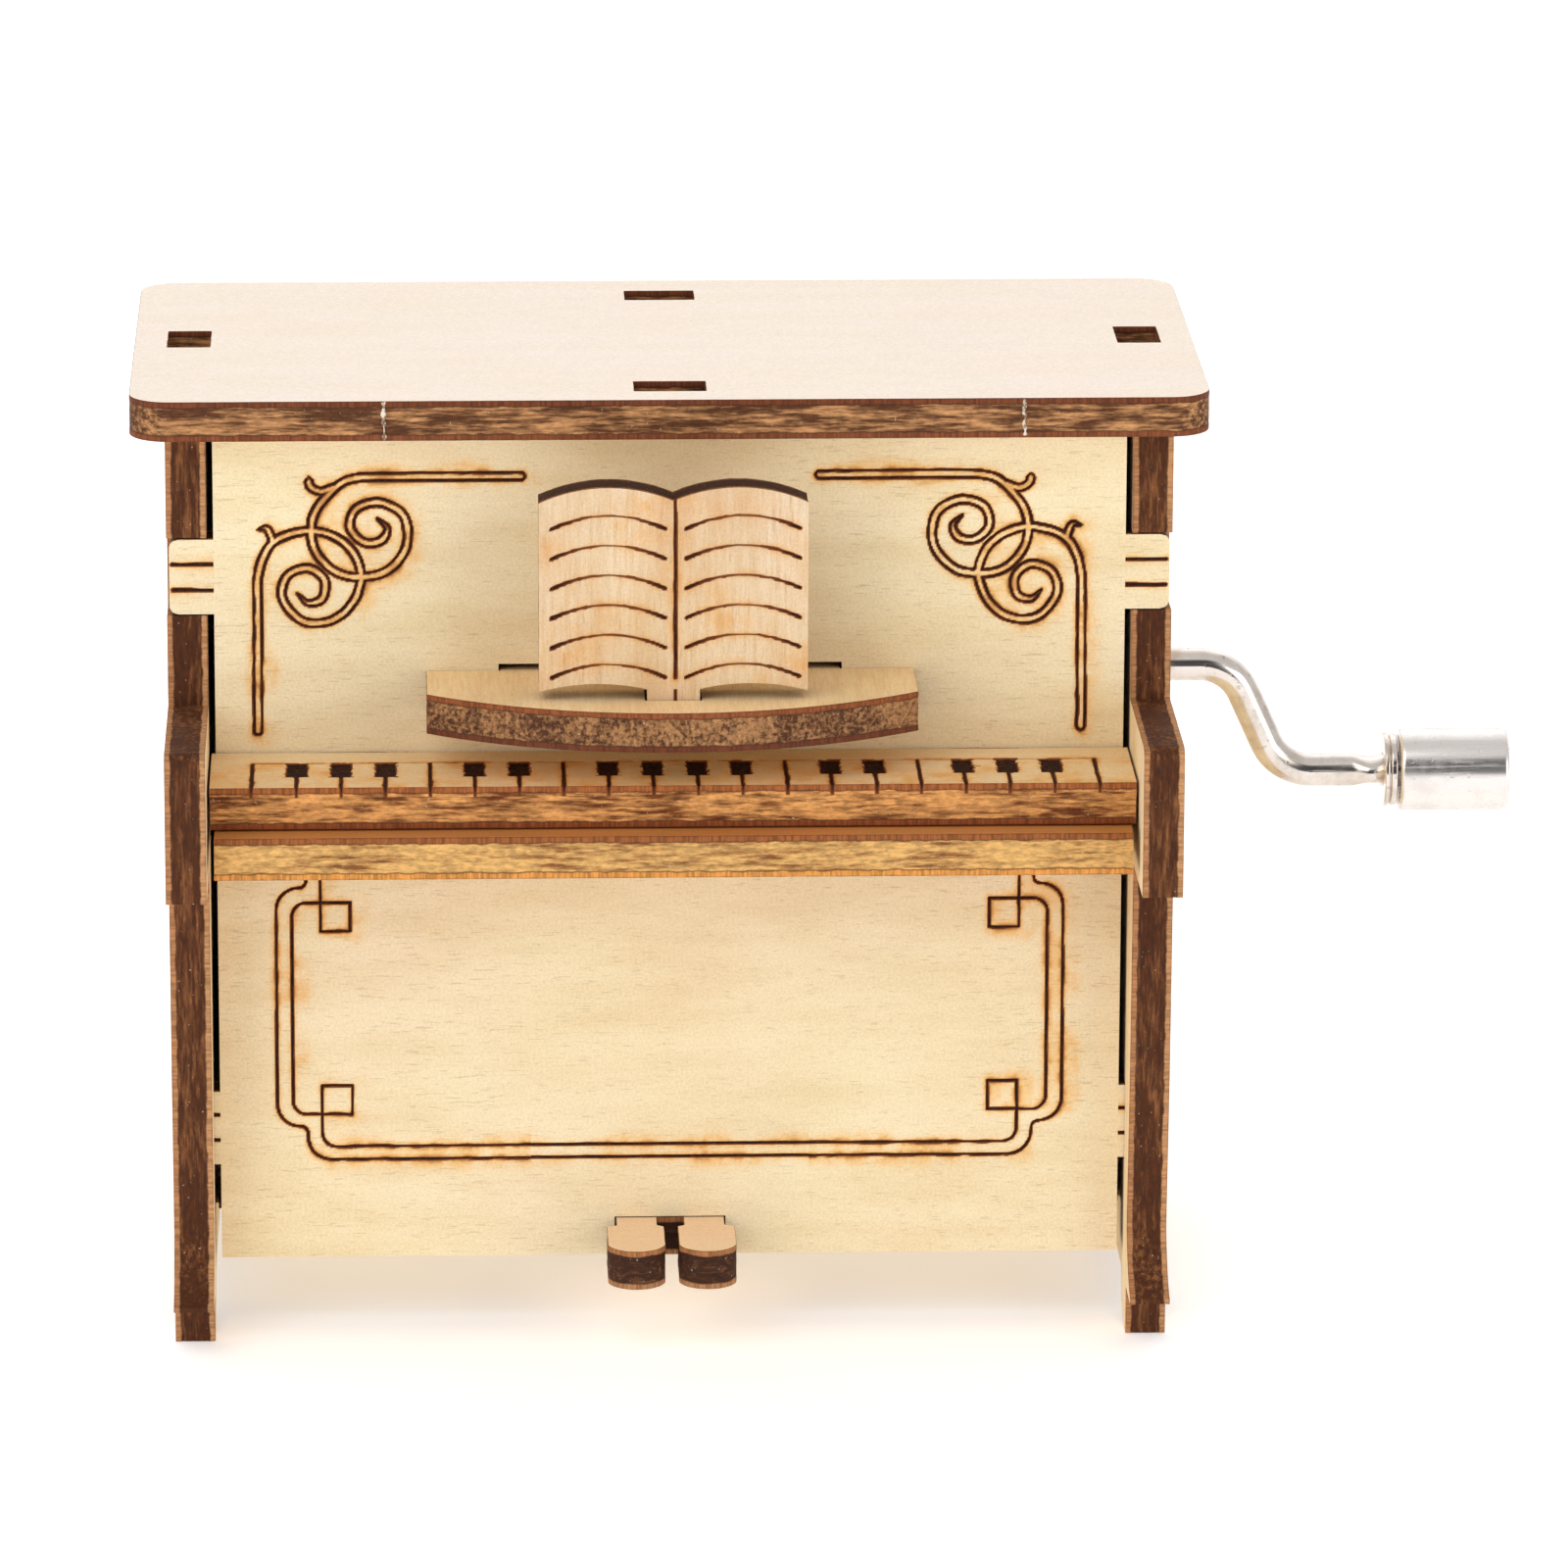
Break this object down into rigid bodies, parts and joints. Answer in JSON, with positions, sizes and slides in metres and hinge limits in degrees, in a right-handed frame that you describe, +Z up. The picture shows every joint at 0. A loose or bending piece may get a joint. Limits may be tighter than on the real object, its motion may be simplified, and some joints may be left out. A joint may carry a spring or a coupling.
{
  "type": "hand cranked music box",
  "caption": "Small upright-piano music box of laser-cut plywood with engraved front, music desk and pedals; a bent wire crank with a spinning grip turns a pinned drum against a steel comb.",
  "frame": {"origin": "on the table, under the middle of the overall box (case and crank together)", "axes": "+X from the keyboard's bass end to the crank side, +Y from the keyboard to the back, +Z up"},
  "size_m": [0.1042, 0.0524, 0.0726],
  "materials": {
    "pale_plywood": "bare laser-cut plywood, very pale, dark cut edges",
    "panel_plywood": "bare laser-cut plywood, pale yellow, burnt engraved lines",
    "side_plywood": "bare laser-cut plywood, dark brown cut edges",
    "key_plywood": "bare laser-cut plywood, golden cut edges",
    "trim_plywood": "bare laser-cut plywood, warm tan",
    "zinc_casting": "plain die casting",
    "spring_steel": "ground steel",
    "screw_steel": "zinc plated",
    "brass": "drawn tube",
    "moulded_plastic": "moulded acetal",
    "bright_nickel": "bright nickel plate with tool marks",
    "satin_nickel": "satin nickel plate, finely turned"
  },
  "bodies": {
    "case": {"lid": "pale_plywood", "front_panel": "panel_plywood", "back_panel": "panel_plywood", "left_side": "side_plywood", "right_side": "side_plywood", "floor_board": "side_plywood", "keyboard": "key_plywood", "keybed": "key_plywood", "music_shelf": "trim_plywood", "music_book": "trim_plywood", "pedals": "trim_plywood", "movement_frame": "zinc_casting", "comb_base": "zinc_casting", "comb": "spring_steel", "comb_screws": "screw_steel", "bedplate_screws": "screw_steel", "bedplate_washers": "screw_steel"},
    "crank": {"crank_wire": "bright_nickel", "worm": "moulded_plastic", "knob_washer": "bright_nickel"},
    "drum": {"drum": "brass", "drum_arbor": "spring_steel", "drum_lower_cap": "moulded_plastic", "drum_upper_cap": "moulded_plastic", "drum_pins": "spring_steel", "drum_gear": "moulded_plastic"},
    "knob": {"knob_sleeve": "satin_nickel", "knob_cap": "satin_nickel"}
  },
  "joints": [
    {"name": "crank_spin", "type": "hinge", "parent": "case", "child": "crank", "pos_m": [0.03285, 0.00175, 0.0479], "axis": [1, 0, 0], "continuous": true},
    {"name": "drum_spin", "type": "hinge", "parent": "case", "child": "drum", "pos_m": [-0.00015, 0.00945, 0.0479], "axis": [0, 0, 1], "continuous": true},
    {"name": "knob_spin", "type": "hinge", "parent": "crank", "child": "knob", "pos_m": [0.04785, 0.00175, 0.0395], "axis": [1, 0, 0], "continuous": true}
  ],
  "couplings": [
    {"joint": "drum_spin", "follows": "crank_spin", "ratio": -0.055556}
  ]
}
